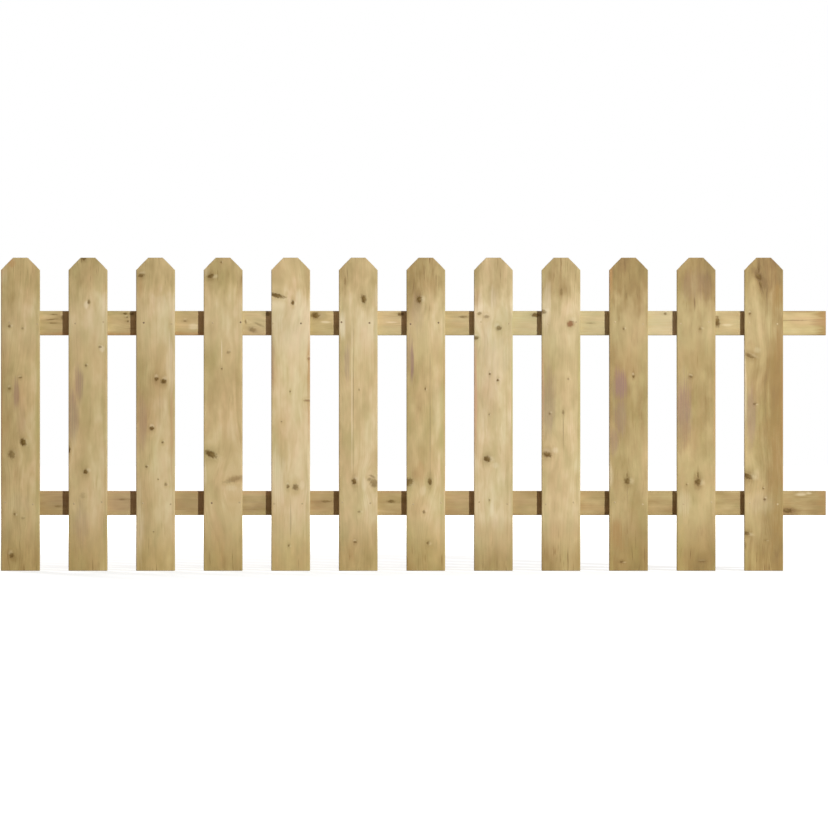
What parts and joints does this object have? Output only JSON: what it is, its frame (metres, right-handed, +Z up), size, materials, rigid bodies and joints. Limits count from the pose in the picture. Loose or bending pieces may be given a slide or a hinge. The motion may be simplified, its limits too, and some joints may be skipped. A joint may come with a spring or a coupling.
{
  "type": "picket fence panel",
  "caption": "Low wooden picket fence panel: dog-eared upright boards with open gaps, nailed across the front of two horizontal rails that are fixed to posts.",
  "frame": {"origin": "middle of the bottom rail's back face, which bears on the posts; the pickets' feet are 150 mm below it", "axes": "+X along the panel to the right as seen from the front, +Y to the back, +Z up; the pickets are on the -Y side"},
  "size_m": [1.832, 0.046, 0.695],
  "materials": {
    "picket_wood": "planed, pressure-treated softwood, matt",
    "rail_wood": "planed, pressure-treated softwood, matt",
    "nail_steel": "galvanised, dulled by weather"
  },
  "bodies": {
    "root": {"picket_01": "picket_wood", "picket_02": "picket_wood", "picket_03": "picket_wood", "picket_04": "picket_wood", "picket_05": "picket_wood", "picket_06": "picket_wood", "picket_07": "picket_wood", "picket_08": "picket_wood", "picket_09": "picket_wood", "picket_10": "picket_wood", "picket_11": "picket_wood", "picket_12": "picket_wood", "bottom_rail": "rail_wood", "top_rail": "rail_wood"}
  },
  "joints": []
}
